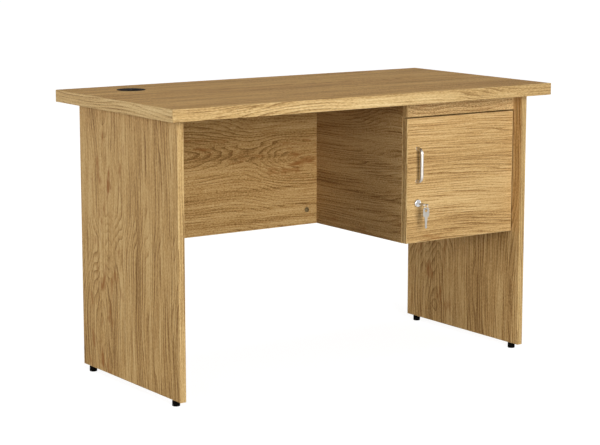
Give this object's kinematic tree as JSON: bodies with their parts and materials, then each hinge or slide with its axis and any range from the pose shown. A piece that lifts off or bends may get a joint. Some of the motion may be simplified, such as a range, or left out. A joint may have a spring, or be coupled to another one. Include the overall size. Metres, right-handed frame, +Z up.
{
  "type": "office desk",
  "caption": "Office desk of laminated board: top on slab legs, modesty panel, and a hanging cupboard whose lockable door has concealed hinges and a bow handle.",
  "frame": {"origin": "centre of the footprint, on the floor", "axes": "+X to the right as seen by the sitter, +Y from the sitter to the rear, +Z up"},
  "size_m": [1.2, 0.6, 0.7508],
  "materials": {
    "oak_top": "oak-look laminate, matt, grain along the width",
    "oak_board": "oak-look laminate, matt",
    "oak_edge_band": "printed oak-look edge band, rounded",
    "nickel_steel": "pressed steel, nickel plated",
    "zinc_plate": "zinc plated",
    "satin_chrome": "satin chrome plate",
    "chrome_plate": "bright chrome plate",
    "key_nickel": "stamped, nickel plated",
    "black_plastic": "moulded, fine texture",
    "beech": "turned, fluted dowel",
    "clear_rubber": "soft clear pad"
  },
  "bodies": {
    "frame": {"desktop_panel": "oak_top", "desktop_edge_bands": "oak_edge_band", "left_leg_panel": "oak_board", "left_leg_edge_bands": "oak_edge_band", "right_leg_panel": "oak_board", "right_leg_edge_bands": "oak_edge_band", "modesty_panel": "oak_board", "modesty_edge_band": "oak_edge_band", "cupboard_side_panel": "oak_board", "cupboard_side_edge_bands": "oak_edge_band", "cupboard_floor_panel": "oak_board", "cupboard_floor_edge_band": "oak_edge_band", "cupboard_back_panel": "oak_board", "cupboard_back_edge_band": "oak_edge_band", "cupboard_top_rail": "oak_board", "fascia_rail": "oak_board", "fascia_edge_bands": "oak_edge_band", "shelf_panel": "oak_board", "shelf_edge_band": "oak_edge_band", "shelf_pins": "nickel_steel", "hinge_arms": "nickel_steel", "hinge_plates": "nickel_steel", "hinge_plate_screws": "zinc_plate", "hinge_arm_screws": "zinc_plate", "cam_fittings": "zinc_plate", "cam_bolts": "zinc_plate", "dowels": "beech", "outlet_liner": "black_plastic", "foot_inserts": "zinc_plate"},
    "door": {"door_panel": "oak_board", "door_edge_bands": "oak_edge_band", "door_handle": "satin_chrome", "handle_screws": "zinc_plate", "bumper_pads": "clear_rubber", "hinge_cups": "nickel_steel", "hinge_pins": "zinc_plate", "hinge_cup_screws": "zinc_plate", "lock_housing": "chrome_plate", "lock_nut": "zinc_plate"},
    "plug": {"lock_plug": "chrome_plate", "lock_cam": "zinc_plate", "lock_cam_screw": "zinc_plate"},
    "key": {"door_key": "key_nickel"},
    "ring": {"key_ring": "key_nickel"},
    "spare": {"spare_key": "key_nickel"},
    "cap": {"outlet_cap": "black_plastic"},
    "foot_left_front": {"foot_pad_left_front": "black_plastic", "foot_stud_left_front": "zinc_plate"},
    "foot_right_front": {"foot_pad_right_front": "black_plastic", "foot_stud_right_front": "zinc_plate"},
    "foot_left_back": {"foot_pad_left_back": "black_plastic", "foot_stud_left_back": "zinc_plate"},
    "foot_right_back": {"foot_pad_right_back": "black_plastic", "foot_stud_right_back": "zinc_plate"}
  },
  "joints": [
    {"name": "door_hinge", "type": "hinge", "parent": "frame", "child": "door", "pos_m": [0.528, -0.2095, 0.503], "axis": [0, 0, 1], "range_deg": [0, 92]},
    {"name": "lock_turn", "type": "hinge", "parent": "door", "child": "plug", "pos_m": [0.204, -0.2245, 0.443], "axis": [0, 1, 0], "range_deg": [0, 90]},
    {"name": "key_pull", "type": "slide", "parent": "plug", "child": "key", "axis": [0, -1, 0], "range_m": [0, 0.022]},
    {"name": "ring_swing", "type": "hinge", "parent": "key", "child": "ring", "pos_m": [0.204, -0.257, 0.443], "axis": [1, 0, 0], "range_deg": [-15, 15]},
    {"name": "spare_hang", "type": "hinge", "parent": "ring", "child": "spare", "pos_m": [0.204, -0.257, 0.4315], "axis": [0, 1, 0], "range_deg": [-90, 0]},
    {"name": "cap_turn", "type": "hinge", "parent": "frame", "child": "cap", "pos_m": [-0.4385, 0.184, 0.75], "axis": [0, 0, 1], "continuous": true},
    {"name": "foot_height_left_front", "type": "slide", "parent": "frame", "child": "foot_left_front", "axis": [0, 0, -1], "range_m": [0, 0.012]},
    {"name": "foot_height_right_front", "type": "slide", "parent": "frame", "child": "foot_right_front", "axis": [0, 0, -1], "range_m": [0, 0.012]},
    {"name": "foot_height_left_back", "type": "slide", "parent": "frame", "child": "foot_left_back", "axis": [0, 0, -1], "range_m": [0, 0.012]},
    {"name": "foot_height_right_back", "type": "slide", "parent": "frame", "child": "foot_right_back", "axis": [0, 0, -1], "range_m": [0, 0.012]}
  ],
  "couplings": [
    {"joint": "spare_hang", "follows": "lock_turn", "ratio": -1}
  ]
}
